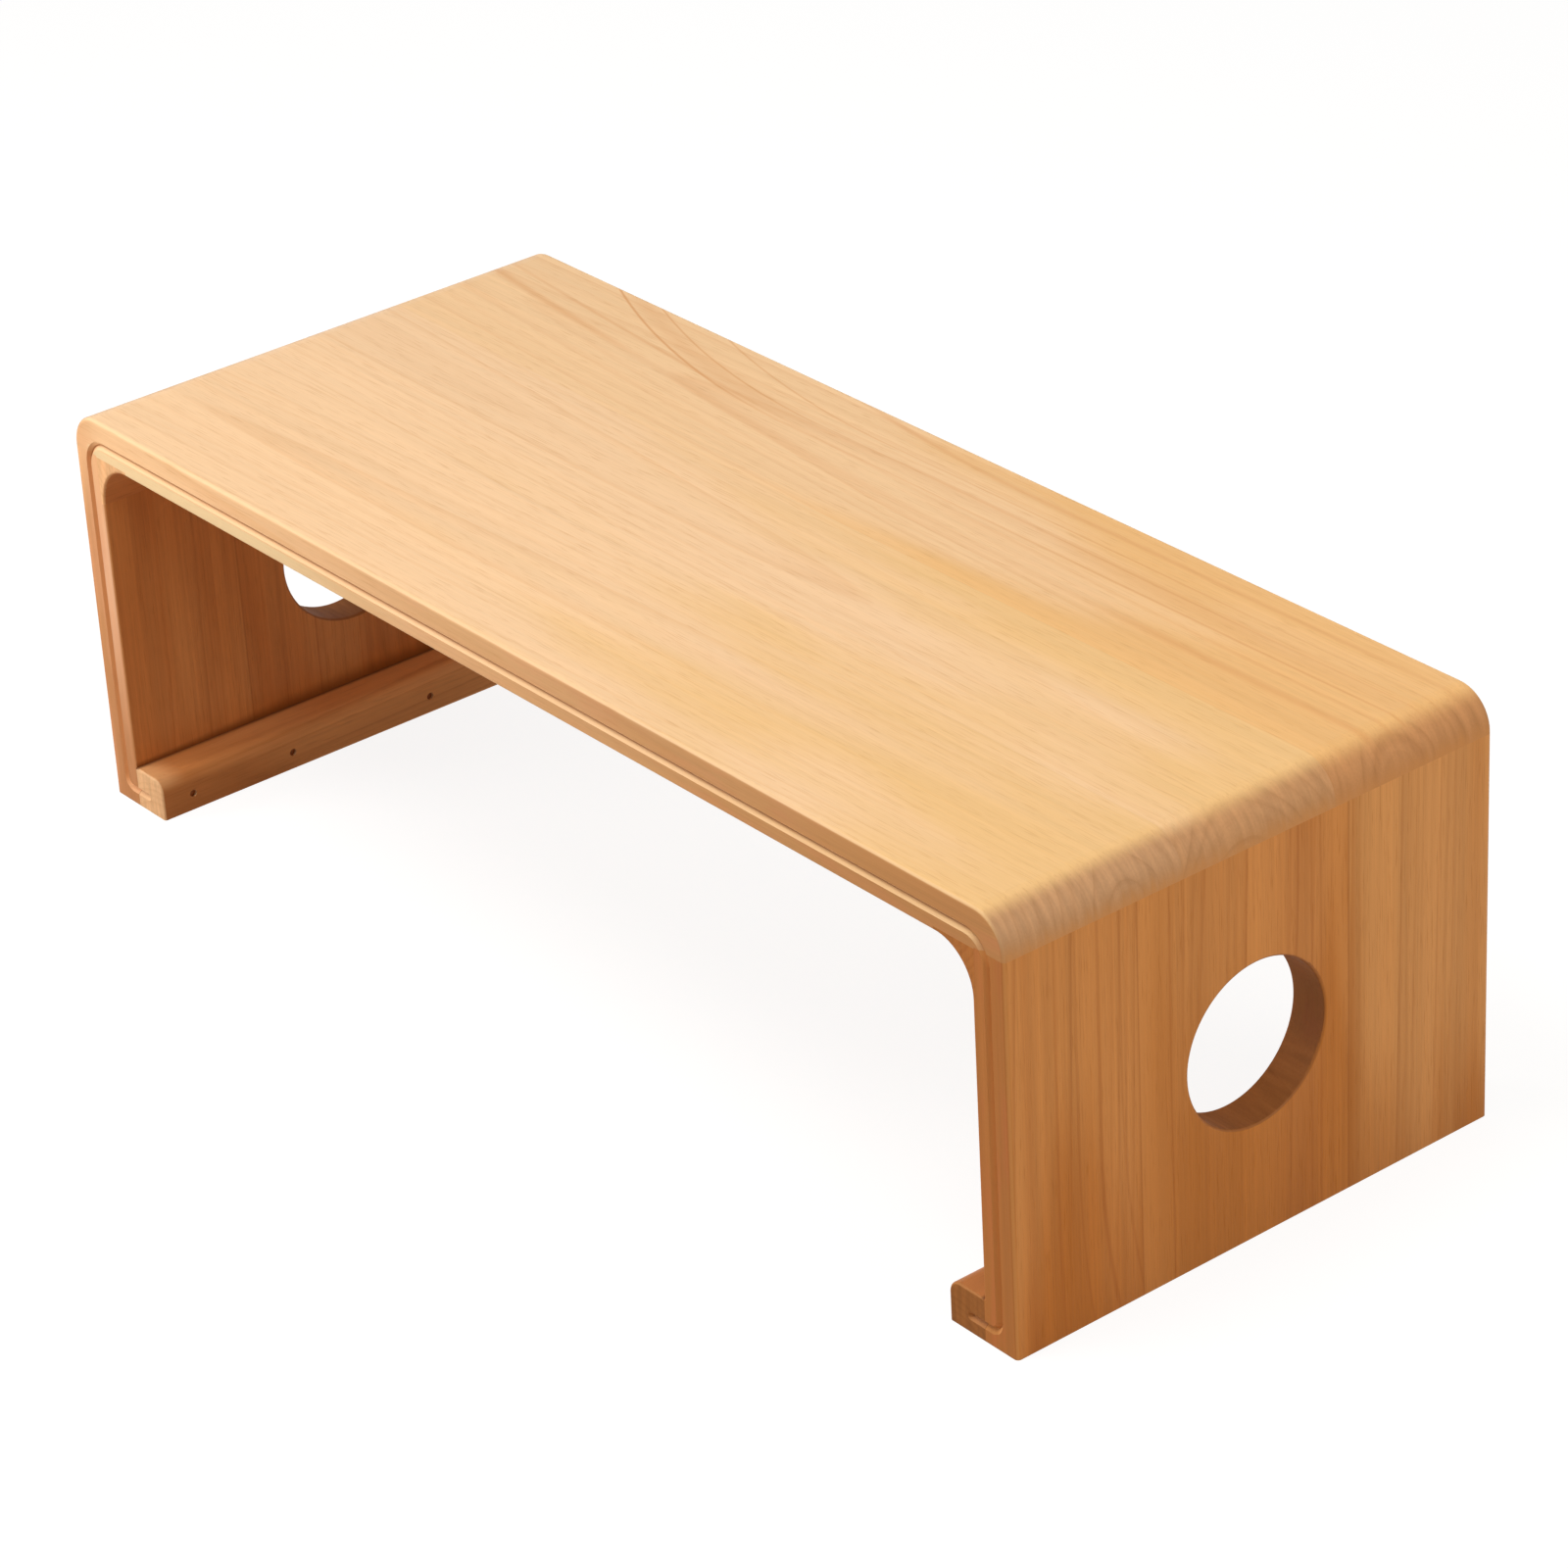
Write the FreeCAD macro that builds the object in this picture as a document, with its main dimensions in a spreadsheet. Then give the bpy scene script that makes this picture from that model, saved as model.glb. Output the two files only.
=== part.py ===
import FreeCAD, Part
import math
import os
import types
import Sketcher

# A low tea table of solid wood: a top over two side panels, with a foot rail along each panel.
# All sizes are in millimetres. X runs along the length, Y from the front to the back, Z up.
# The origin lies on the floor under the middle of the top.

SIZES = {
    # The whole table
    "length": 1000,
    "depth": 405,
    "height": 310,
    # The top, glued up from three boards, with rounded outer corners
    "top_thickness": 32,
    "top_front_width": 143,
    "top_rear_width": 135,
    "corner_radius": 27,
    "seam_below_round": 1,
    # The side panels, each glued up from three boards, with a round hole in the middle board
    "side_thickness": 30,
    "hole_diameter": 116,
    "hole_height": 141,
    "hole_to_front_joint": 40,
    "hole_to_rear_joint": 20,
    "hole_edge_radius": 2,
    # The rounded edges on the outside of the table and around the knee space
    "outer_edge_radius": 3,
    "inner_edge_radius": 2,
    # The coved blocks in the inner corners, let into the top and the side panels by the depth of their edges
    "cove_radius": 33,
    "cove_land": 1,
    "block_edge": 3,
    # The foot rails
    "rail_width": 33,
    "rail_height": 31,
    "rail_round": 10,
    # The routed line that follows the front and the rear edge
    "line_below_top": 18.5,
    "line_from_end": 16,
    "line_above_floor": 12,
    "line_corner_radius": 20,
    "line_foot_radius": 8,
    "line_reach": 43,
    "line_half_width": 3,
    "line_depth": 3,
    "cutter_overrun": 1,
    # The dowels between the side panels and the top
    "dowel_diameter": 8,
    "dowel_in_side": 22,
    "dowel_in_top": 15,
    "dowel_end_space": 1,
    "dowel_chamfer": 1,
    "dowel_from_joint": 25,
    "dowel_clearance": 0.1,
    # The screws that hold the rails to the side panels, placed from the front
    "first_screw": 26,
    "second_screw": 114.5,
    "third_screw": 239.5,
    "last_screw_from_rear": 26,
    "screw_above_floor": 13,
    "screw_sunk": 2,
    "screw_head_diameter": 5.5,
    "screw_head_height": 2.5,
    "screw_diameter": 3.5,
    "screw_bite": 17,
    "screw_tip": 4,
    "screw_clearance": 0.15,
}

LEFT = -1
RIGHT = 1
NEAR = 0.01

doc = FreeCAD.newDocument("low_tea_table")
sheet = doc.addObject("Spreadsheet::Sheet", "Sizes")
for row, (size_name, size_number) in enumerate(SIZES.items(), start=1):
    sheet.set(f"A{row}", size_name)
    sheet.set(f"B{row}", str(size_number))
    sheet.setAlias(f"B{row}", size_name)
doc.recompute()


class Size:
    """A number, for the first drawing, with the formula that ties it to the sheet."""

    def __init__(self, number, formula):
        self.number = number
        self.formula = formula

    def __add__(self, other):
        return Size(self.number + other.number, f"({self.formula} + {other.formula})")

    def __sub__(self, other):
        return Size(self.number - other.number, f"({self.formula} - {other.formula})")

    def __mul__(self, other):
        return Size(self.number * other.number, f"({self.formula} * {other.formula})")

    def __truediv__(self, other):
        return Size(self.number / other.number, f"({self.formula} / {other.formula})")

    def __neg__(self):
        return Size(-self.number, f"(-{self.formula})")

    def half(self):
        return Size(self.number / 2, f"({self.formula} / 2)")

    def toward(self, side):
        """The same distance to the left or to the right of the middle."""
        return self if side == RIGHT else -self


ZERO = Size(0, "0")
sizes = types.SimpleNamespace(**{name: Size(number, f"Sizes.{name}") for name, number in SIZES.items()})

# Places that several pieces share
end = sizes.length.half()
rear = sizes.depth.half()
front = -rear
underside = sizes.height - sizes.top_thickness
seam = sizes.height - sizes.corner_radius - sizes.seam_below_round
panel_inside = end - sizes.side_thickness
panel_middle = end - sizes.side_thickness.half()
rail_inside = panel_inside - sizes.rail_width
block_reach = sizes.cove_radius + sizes.cove_land
block_foot = underside - block_reach
top_front_joint = front + sizes.top_front_width
top_rear_joint = rear - sizes.top_rear_width
side_front_joint = -(sizes.hole_diameter.half() + sizes.hole_to_front_joint)
side_rear_joint = sizes.hole_diameter.half() + sizes.hole_to_rear_joint

# Half the width of the routed line's cutter where it stands out of the wood
line_mouth = sizes.line_half_width * (sizes.line_depth + sizes.cutter_overrun) / sizes.line_depth


def bind(owner, name, size):
    """Ties a property to the sheet."""
    owner.setExpression(name, size.formula)


def place(owner, x, y, z):
    """Puts an object at a place that follows the sheet."""
    bind(owner, "Placement.Base.x", x)
    bind(owner, "Placement.Base.y", y)
    bind(owner, "Placement.Base.z", z)


def new_body(name, x, y, z):
    """An empty body with its own origin."""
    body = doc.addObject("PartDesign::Body", name)
    place(body, x, y, z)
    return body


def new_sketch(body, name, plane):
    """A sketch on one of the body's origin planes."""
    sketch = body.newObject("Sketcher::SketchObject", name)
    support = [feature for feature in body.Origin.OriginFeatures if feature.Role == plane]
    sketch.AttachmentSupport = (support[0], [""])
    sketch.MapMode = "FlatFace"
    return sketch


def add_size(sketch, kind, where, size):
    """Adds a dimension to a sketch and ties it to the sheet."""
    index = sketch.addConstraint(Sketcher.Constraint(kind, *where, size.number))
    bind(sketch, f"Constraints[{index}]", size)


def hold(sketch, line, tip, kind, size):
    """Holds one end of a line at a distance from the sketch's origin."""
    if size is ZERO:
        axis = -2 if kind == "DistanceX" else -1
        sketch.addConstraint(Sketcher.Constraint("PointOnObject", line, tip, axis))
    else:
        add_size(sketch, kind, (-1, 1, line, tip), size)


def draw_points(sketch, points):
    """Draws a closed outline of straight lines through free points."""
    spots = [FreeCAD.Vector(x.number, y.number, 0) for x, y in points]
    lines = []
    for index, spot in enumerate(spots):
        following = spots[(index + 1) % len(spots)]
        lines.append(sketch.addGeometry(Part.LineSegment(spot, following), False))
    for index, line in enumerate(lines):
        sketch.addConstraint(Sketcher.Constraint("Coincident", lines[index - 1], 2, line, 1))
        hold(sketch, line, 1, "DistanceX", points[index][0])
        hold(sketch, line, 1, "DistanceY", points[index][1])


def round_corner(sketch, before, after, corner, radius):
    """Joins two lines at a corner with an arc that runs smoothly into both."""
    into = before[1]
    away = after[1]
    middle = corner - into * radius.number + away * radius.number
    start = (corner - into * radius.number) - middle
    finish = (corner + away * radius.number) - middle
    left_turn = into.cross(away).z > 0
    if not left_turn:
        start, finish = finish, start
    first_angle = math.atan2(start.y, start.x)
    last_angle = math.atan2(finish.y, finish.x)
    circle = Part.Circle(middle, FreeCAD.Vector(0, 0, 1), radius.number)
    arc = sketch.addGeometry(Part.ArcOfCircle(circle, first_angle, last_angle), False)
    arc_start, arc_finish = (1, 2) if left_turn else (2, 1)
    sketch.addConstraint(Sketcher.Constraint("Tangent", before[0], 2, arc, arc_start))
    sketch.addConstraint(Sketcher.Constraint("Tangent", arc, arc_finish, after[0], 1))
    add_size(sketch, "Radius", (arc,), radius)


def draw_steps(sketch, corners, closed=True):
    """Draws level and upright lines through the corners (x, y, radius), with None for a sharp corner."""
    spots = [FreeCAD.Vector(x.number, y.number, 0) for x, y, radius in corners]
    setbacks = [radius.number if radius else 0 for x, y, radius in corners]
    count = len(corners)
    lines = []
    for here in range(count if closed else count - 1):
        there = (here + 1) % count
        along = (spots[there] - spots[here]).normalize()
        start = spots[here] + along * setbacks[here]
        finish = spots[there] - along * setbacks[there]
        line = sketch.addGeometry(Part.LineSegment(start, finish), False)
        level = abs(along.x) > abs(along.y)
        sketch.addConstraint(Sketcher.Constraint("Horizontal" if level else "Vertical", line))
        hold(sketch, line, 1, "DistanceY" if level else "DistanceX", corners[here][1 if level else 0])
        lines.append((line, along))
    for index in range(0 if closed else 1, count if closed else count - 1):
        radius = corners[index][2]
        before = lines[index - 1]
        after = lines[index]
        if radius:
            round_corner(sketch, before, after, spots[index], radius)
        else:
            sketch.addConstraint(Sketcher.Constraint("Coincident", before[0], 2, after[0], 1))
    if not closed:
        hold(sketch, lines[0][0], 1, "DistanceX", corners[0][0])
        hold(sketch, lines[-1][0], 2, "DistanceX", corners[-1][0])


def pad(body, sketch, name, length):
    """Pads a sketch along its plane's normal."""
    feature = body.newObject("PartDesign::Pad", name)
    feature.Profile = sketch
    bind(feature, "Length", length)
    return feature


def revolve(body, sketch, name):
    """Turns a sketch about its upright axis."""
    feature = body.newObject("PartDesign::Revolution", name)
    feature.Profile = sketch
    feature.ReferenceAxis = (sketch, ["V_Axis"])
    feature.Angle = 360
    return feature


def round_edges(body, feature, name, radius, chosen):
    """Rounds the edges whose start, middle and end points all suit the test."""
    doc.recompute()
    edges = enumerate(feature.Shape.Edges, start=1)
    names = [f"Edge{number}" for number, edge in edges if chosen(edge.discretize(3))]
    fillet = body.newObject("PartDesign::Fillet", name)
    fillet.Base = (feature, names)
    bind(fillet, "Radius", radius)
    return fillet


def all_at(values, place_number):
    """Tells whether all the values lie at one place."""
    return all(abs(value - place_number) < NEAR for value in values)


def top_board(name, front_edge, rear_edge, free_edge):
    """A board of the top. Its section has rounded outer corners, and steps for the blocks and the side panels."""
    body = new_body(name, ZERO, rear_edge, ZERO)
    section = new_sketch(body, name + "_section", "XZ_Plane")
    block_start = panel_inside - block_reach
    block_end = panel_inside + sizes.block_edge
    block_top = underside + sizes.block_edge
    draw_steps(section, [
        (-block_end, block_top, None),
        (-block_start, block_top, None),
        (-block_start, underside, None),
        (block_start, underside, None),
        (block_start, block_top, None),
        (block_end, block_top, None),
        (block_end, seam, None),
        (end, seam, None),
        (end, sizes.height, sizes.corner_radius),
        (-end, sizes.height, sizes.corner_radius),
        (-end, seam, None),
        (-block_end, seam, None),
    ])
    width = rear_edge - front_edge
    board = pad(body, section, name + "_pad", width)
    if free_edge:
        free_y = free_edge.number - rear_edge.number

        def on_upper_edge(points):
            heights = [point.z for point in points]
            above_seam = min(heights) > seam.number - NEAR and max(heights) > seam.number + NEAR
            return above_seam and all_at([point.y for point in points], free_y)

        def on_lower_edge(points):
            at_underside = all_at([point.z for point in points], underside.number)
            return at_underside and all_at([point.y for point in points], free_y)

        board = round_edges(body, board, name + "_upper_edge", sizes.outer_edge_radius, on_upper_edge)
        round_edges(body, board, name + "_lower_edge", sizes.inner_edge_radius, on_lower_edge)
    return body


def outer_side_board(name, side, free_edge, joint):
    """A front or rear board of a side panel. Its inner edge is rounded between the foot rail and the block."""
    body = new_body(name, panel_inside.toward(side), free_edge, ZERO)
    outside = sizes.side_thickness.toward(side)
    width = joint - free_edge

    def stretch(part, low, high, inside, inner_radius):
        section = new_sketch(body, f"{name}_{part}_section", "XY_Plane")
        bind(section, "AttachmentOffset.Base.z", low)
        draw_steps(section, [
            (inside, ZERO, inner_radius),
            (outside, ZERO, sizes.outer_edge_radius),
            (outside, width, None),
            (inside, width, None),
        ])
        pad(body, section, f"{name}_{part}", high - low)

    stretch("foot", ZERO, sizes.rail_height, ZERO, None)
    stretch("leg", sizes.rail_height, block_foot, ZERO, sizes.inner_edge_radius)
    stretch("head", block_foot, seam, sizes.block_edge.toward(side), None)
    return body


def middle_side_board(name, side):
    """The middle board of a side panel, with the round hole, and thinner above for the block."""
    body = new_body(name, panel_inside if side == RIGHT else -end, ZERO, ZERO)
    face = new_sketch(body, name + "_face", "YZ_Plane")
    draw_steps(face, [
        (side_front_joint, ZERO, None),
        (side_rear_joint, ZERO, None),
        (side_rear_joint, block_foot, None),
        (side_front_joint, block_foot, None),
    ])
    centre = FreeCAD.Vector(0, sizes.hole_height.number, 0)
    circle = Part.Circle(centre, FreeCAD.Vector(0, 0, 1), sizes.hole_diameter.number / 2)
    hole = face.addGeometry(circle, False)
    face.addConstraint(Sketcher.Constraint("PointOnObject", hole, 3, -2))
    add_size(face, "DistanceY", (-1, 1, hole, 3), sizes.hole_height)
    add_size(face, "Diameter", (hole,), sizes.hole_diameter)
    board = pad(body, face, name + "_pad", sizes.side_thickness)

    def on_hole(points):
        distances = [math.hypot(point.y, point.z - sizes.hole_height.number) for point in points]
        same_depth = all_at([point.x for point in points], points[0].x)
        return same_depth and all_at(distances, sizes.hole_diameter.number / 2)

    round_edges(body, board, name + "_hole_edges", sizes.hole_edge_radius, on_hole)
    head = new_sketch(body, name + "_head_face", "YZ_Plane")
    bind(head, "AttachmentOffset.Base.z", sizes.block_edge if side == RIGHT else ZERO)
    draw_steps(head, [
        (side_front_joint, block_foot, None),
        (side_rear_joint, block_foot, None),
        (side_rear_joint, seam, None),
        (side_front_joint, seam, None),
    ])
    pad(body, head, name + "_head", sizes.side_thickness - sizes.block_edge)
    return body


def corner_block(name, side):
    """A coved block in an inner corner, flush with the faces around it, with rounded ends to the cove."""
    body = new_body(name, panel_inside.toward(side), rear, underside)
    outside = sizes.block_edge.toward(side)
    tip = -block_reach
    section = new_sketch(body, name + "_section", "XZ_Plane")
    draw_steps(section, [
        (outside, sizes.block_edge, None),
        (tip.toward(side), sizes.block_edge, None),
        (tip.toward(side), ZERO, None),
        (ZERO, ZERO, sizes.cove_radius),
        (ZERO, tip, None),
        (outside, tip, None),
    ])
    block = pad(body, section, name + "_pad", sizes.depth)

    def on_cove_end(points):
        across = [point.y for point in points]
        at_end = all_at(across, 0) or all_at(across, -sizes.depth.number)
        open_side = all(point.x * side < NEAR and point.z < NEAR for point in points)
        return at_end and open_side

    round_edges(body, block, name + "_edges", sizes.inner_edge_radius, on_cove_end)
    return body


def foot_rail(name, side):
    """A rail along the foot of a side panel, with a rounded upper edge and rounded ends."""
    body = new_body(name, panel_inside.toward(side), rear, ZERO)
    inside = (-sizes.rail_width).toward(side)
    section = new_sketch(body, name + "_section", "XZ_Plane")
    draw_steps(section, [
        (ZERO, ZERO, None),
        (inside, ZERO, None),
        (inside, sizes.rail_height, sizes.rail_round),
        (ZERO, sizes.rail_height, None),
    ])
    rail = pad(body, section, name + "_pad", sizes.depth)

    def on_open_end(points):
        across = [point.y for point in points]
        at_end = all_at(across, 0) or all_at(across, -sizes.depth.number)
        at_panel = all_at([point.x for point in points], 0)
        at_floor = all_at([point.z for point in points], 0)
        return at_end and not at_panel and not at_floor

    round_edges(body, rail, name + "_edges", sizes.inner_edge_radius, on_open_end)
    return body


def dowel(name, side, y):
    """A dowel with chamfered ends, standing on the bottom of its hole."""
    body = new_body(name, panel_middle.toward(side), y, seam - sizes.dowel_in_side)
    radius = sizes.dowel_diameter.half()
    height = sizes.dowel_in_side + sizes.dowel_in_top - sizes.dowel_end_space
    outline = new_sketch(body, name + "_outline", "XZ_Plane")
    draw_points(outline, [
        (ZERO, ZERO),
        (radius - sizes.dowel_chamfer, ZERO),
        (radius, sizes.dowel_chamfer),
        (radius, height - sizes.dowel_chamfer),
        (radius - sizes.dowel_chamfer, height),
        (ZERO, height),
    ])
    revolve(body, outline, name + "_turned")
    return body


def dowel_hole(name, side, y):
    """The hole for a dowel, through the joint between a side panel and the top."""
    hole = doc.addObject("Part::Cylinder", name)
    bind(hole, "Radius", sizes.dowel_diameter.half() + sizes.dowel_clearance)
    bind(hole, "Height", sizes.dowel_in_side + sizes.dowel_in_top)
    place(hole, panel_middle.toward(side), y, seam - sizes.dowel_in_side)
    return hole


def screw_body(name, side, y):
    """An empty body for a screw, with Z pointing from the rail into the side panel."""
    head_face = rail_inside + sizes.screw_sunk
    body = doc.addObject("PartDesign::Body", name)
    turn = FreeCAD.Rotation(FreeCAD.Vector(0, 1, 0), 90 * side)
    body.Placement = FreeCAD.Placement(FreeCAD.Vector(0, 0, 0), turn)
    place(body, head_face.toward(side), y, sizes.screw_above_floor)
    return body


def screw_length():
    """From the head's face, sunk in the rail, to the point in the side panel."""
    return sizes.rail_width - sizes.screw_sunk + sizes.screw_bite


def screw(name, side, y):
    """A screw with a flat head, a plain shank and a point."""
    body = screw_body(name, side, y)
    head = sizes.screw_head_diameter.half()
    shank = sizes.screw_diameter.half()
    outline = new_sketch(body, name + "_outline", "XZ_Plane")
    draw_points(outline, [
        (ZERO, ZERO),
        (head, ZERO),
        (head, sizes.screw_head_height),
        (shank, sizes.screw_head_height),
        (shank, screw_length() - sizes.screw_tip),
        (ZERO, screw_length()),
    ])
    revolve(body, outline, name + "_turned")
    return body


def screw_hole(name, side, y):
    """The stepped hole for a screw. Its shoulder carries the screw's head."""
    body = screw_body(name, side, y)
    head = sizes.screw_head_diameter.half() + sizes.screw_clearance
    shank = sizes.screw_diameter.half() + sizes.screw_clearance
    mouth = -(sizes.screw_sunk + sizes.cutter_overrun)
    bottom = screw_length() + sizes.screw_clearance
    outline = new_sketch(body, name + "_outline", "XZ_Plane")
    draw_points(outline, [
        (ZERO, mouth),
        (head, mouth),
        (head, sizes.screw_head_height),
        (shank, sizes.screw_head_height),
        (shank, bottom),
        (ZERO, bottom),
    ])
    revolve(body, outline, name + "_turned")
    return body


def line_end(name, side, reach):
    """The half cone at an end of the routed line, as the tip of a V cutter leaves it."""
    cone = doc.addObject("Part::Cone", name)
    bind(cone, "Radius1", line_mouth)
    cone.Radius2 = 0
    bind(cone, "Height", sizes.line_depth + sizes.cutter_overrun)
    cone.Angle = 180
    along_line = FreeCAD.Vector(-side, 0, 0)
    upright = FreeCAD.Vector(0, 0, -side)
    into_wood = FreeCAD.Vector(0, 1, 0)
    turn = FreeCAD.Rotation(upright, along_line, into_wood, "ZXY")
    cone.Placement = FreeCAD.Placement(FreeCAD.Vector(0, 0, 0), turn)
    place(cone, reach.toward(side), front - sizes.cutter_overrun, sizes.line_above_floor)
    return cone


def routed_line(name):
    """The cutter of the line on the front edge: a V drawn from foot to foot, round both corners."""
    path = doc.addObject("Sketcher::SketchObject", name + "_path")
    upright = FreeCAD.Rotation(FreeCAD.Vector(1, 0, 0), 90)
    path.Placement = FreeCAD.Placement(FreeCAD.Vector(0, 0, 0), upright)
    place(path, ZERO, front, ZERO)
    reach = end - sizes.line_reach
    leg = end - sizes.line_from_end
    level = sizes.height - sizes.line_below_top
    draw_steps(path, [
        (-reach, sizes.line_above_floor, None),
        (-leg, sizes.line_above_floor, sizes.line_foot_radius),
        (-leg, level, sizes.line_corner_radius),
        (leg, level, sizes.line_corner_radius),
        (leg, sizes.line_above_floor, sizes.line_foot_radius),
        (reach, sizes.line_above_floor, None),
    ], closed=False)
    profile = doc.addObject("Sketcher::SketchObject", name + "_profile")
    across = FreeCAD.Rotation(FreeCAD.Vector(1, 1, 1), 120)
    profile.Placement = FreeCAD.Placement(FreeCAD.Vector(0, 0, 0), across)
    place(profile, -reach, front, sizes.line_above_floor)
    draw_points(profile, [
        (sizes.line_depth, ZERO),
        (-sizes.cutter_overrun, line_mouth),
        (-sizes.cutter_overrun, -line_mouth),
    ])
    doc.recompute()
    sweep = doc.addObject("Part::Sweep", name + "_sweep")
    sweep.Sections = [profile]
    sweep.Spine = (path, [f"Edge{number}" for number in range(1, len(path.Shape.Edges) + 1)])
    sweep.Solid = True
    ends = [line_end(f"{name}_left_end", LEFT, reach), line_end(f"{name}_right_end", RIGHT, reach)]
    line = doc.addObject("Part::MultiFuse", name)
    line.Shapes = [sweep] + ends
    return line


def mirrored_to_rear(name, source):
    """The same cutter on the rear edge."""
    mirror = doc.addObject("Part::Mirroring", name)
    mirror.Source = source
    mirror.Normal = FreeCAD.Vector(0, 1, 0)
    mirror.Base = FreeCAD.Vector(0, 0, 0)
    return mirror


def group(name, members):
    """Separate solids in one object."""
    compound = doc.addObject("Part::Compound", name)
    compound.Links = members
    return compound


def cut_piece(label, body, cutters):
    """The finished piece: its blank with every hole and line that crosses it cut out."""
    piece = doc.addObject("Part::Cut", label)
    piece.Base = body
    piece.Tool = cutters
    piece.Label = label
    return piece


# Where the dowels and screws stand along the depth
dowel_places = [
    front + sizes.dowel_from_joint,
    side_front_joint - sizes.dowel_from_joint,
    side_front_joint + sizes.dowel_from_joint,
    side_rear_joint - sizes.dowel_from_joint,
    side_rear_joint + sizes.dowel_from_joint,
    rear - sizes.dowel_from_joint,
]
screw_places = [
    front + sizes.first_screw,
    front + sizes.second_screw,
    front + sizes.third_screw,
    rear - sizes.last_screw_from_rear,
]

# Everything that is cut out of the blanks
front_line = routed_line("front_line")
cutters = [front_line, mirrored_to_rear("rear_line", front_line)]
for side, side_name in ((LEFT, "left"), (RIGHT, "right")):
    for number, y in enumerate(dowel_places, start=1):
        cutters.append(dowel_hole(f"{side_name}_dowel_hole_{number}", side, y))
    for number, y in enumerate(screw_places, start=1):
        cutters.append(screw_hole(f"{side_name}_screw_hole_{number}", side, y))
all_cutters = group("all_cutters", cutters)

# The blanks, and the pieces cut from them
blanks = {
    "top_front_board": top_board("top_front_blank", front, top_front_joint, front),
    "top_middle_board": top_board("top_middle_blank", top_front_joint, top_rear_joint, None),
    "top_rear_board": top_board("top_rear_blank", top_rear_joint, rear, rear),
}
pieces = []
for side, side_name in ((LEFT, "left"), (RIGHT, "right")):
    panel = f"{side_name}_side"
    blanks[f"{panel}_front_board"] = outer_side_board(f"{panel}_front_blank", side, front, side_front_joint)
    blanks[f"{panel}_middle_board"] = middle_side_board(f"{panel}_middle_blank", side)
    blanks[f"{panel}_rear_board"] = outer_side_board(f"{panel}_rear_blank", side, rear, side_rear_joint)
    blanks[f"{side_name}_foot_rail"] = foot_rail(f"{side_name}_rail_blank", side)
    pieces.append(corner_block(f"{side_name}_corner_block", side))
    dowels = [dowel(f"{side_name}_dowel_{n}", side, y) for n, y in enumerate(dowel_places, start=1)]
    pieces.append(group(f"{side_name}_corner_dowels", dowels))
    screws = [screw(f"{side_name}_screw_{n}", side, y) for n, y in enumerate(screw_places, start=1)]
    pieces.append(group(f"{side_name}_rail_screws", screws))
for label, blank in blanks.items():
    pieces.append(cut_piece(label, blank, all_cutters))
doc.recompute()

for made in doc.Objects:
    if "Invalid" in made.State or "Error" in made.State:
        raise RuntimeError(f"{made.Label} did not build: {made.State}")
os.makedirs("parts", exist_ok=True)
for piece in pieces:
    if piece.Shape.isNull() or not piece.Shape.isValid():
        raise RuntimeError(f"{piece.Label} has no valid shape")
    piece.Shape.exportStep(f"parts/{piece.Label}.step")
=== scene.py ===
import math

import bpy
from mathutils import Matrix, Vector


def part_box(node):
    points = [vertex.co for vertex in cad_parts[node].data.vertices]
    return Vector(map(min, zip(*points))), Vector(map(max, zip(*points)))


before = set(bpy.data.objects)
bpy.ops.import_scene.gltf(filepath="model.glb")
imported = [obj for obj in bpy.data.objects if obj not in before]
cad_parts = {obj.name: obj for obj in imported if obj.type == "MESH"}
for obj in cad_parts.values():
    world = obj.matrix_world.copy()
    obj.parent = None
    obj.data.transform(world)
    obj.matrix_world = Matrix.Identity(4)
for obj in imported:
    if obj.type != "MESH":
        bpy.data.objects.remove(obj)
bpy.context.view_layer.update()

# Camera, from the corners of the table in the photograph
CAMERA_PLACE = (2.622, -1.996, 1.941)
CAMERA_AZIMUTH = 52.32
CAMERA_ELEVATION = 28.87
CAMERA_ROLL = -3.24
CAMERA_LENS = 126.87
CAMERA_SENSOR = 36.0

# Places on the table, in metres
HALF_DEPTH = 0.2025
PANEL_FACE = 0.470
RAIL_TOP = 0.031
GROOVE_DEPTH = 0.003
# Room for rounding where a place is tested against a face
FACE_SLACK = 0.0003
LINE_SLACK = 0.0002


def tint(red, green, blue):
    """A colour written as 0 to 255 screen values, as the linear colour that a shader takes."""
    linear = []
    for value in (red, green, blue):
        share = value / 255.0
        if share <= 0.04045:
            linear.append(share / 12.92)
        else:
            linear.append(((share + 0.055) / 1.055) ** 2.4)
    return (*linear, 1.0)


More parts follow.
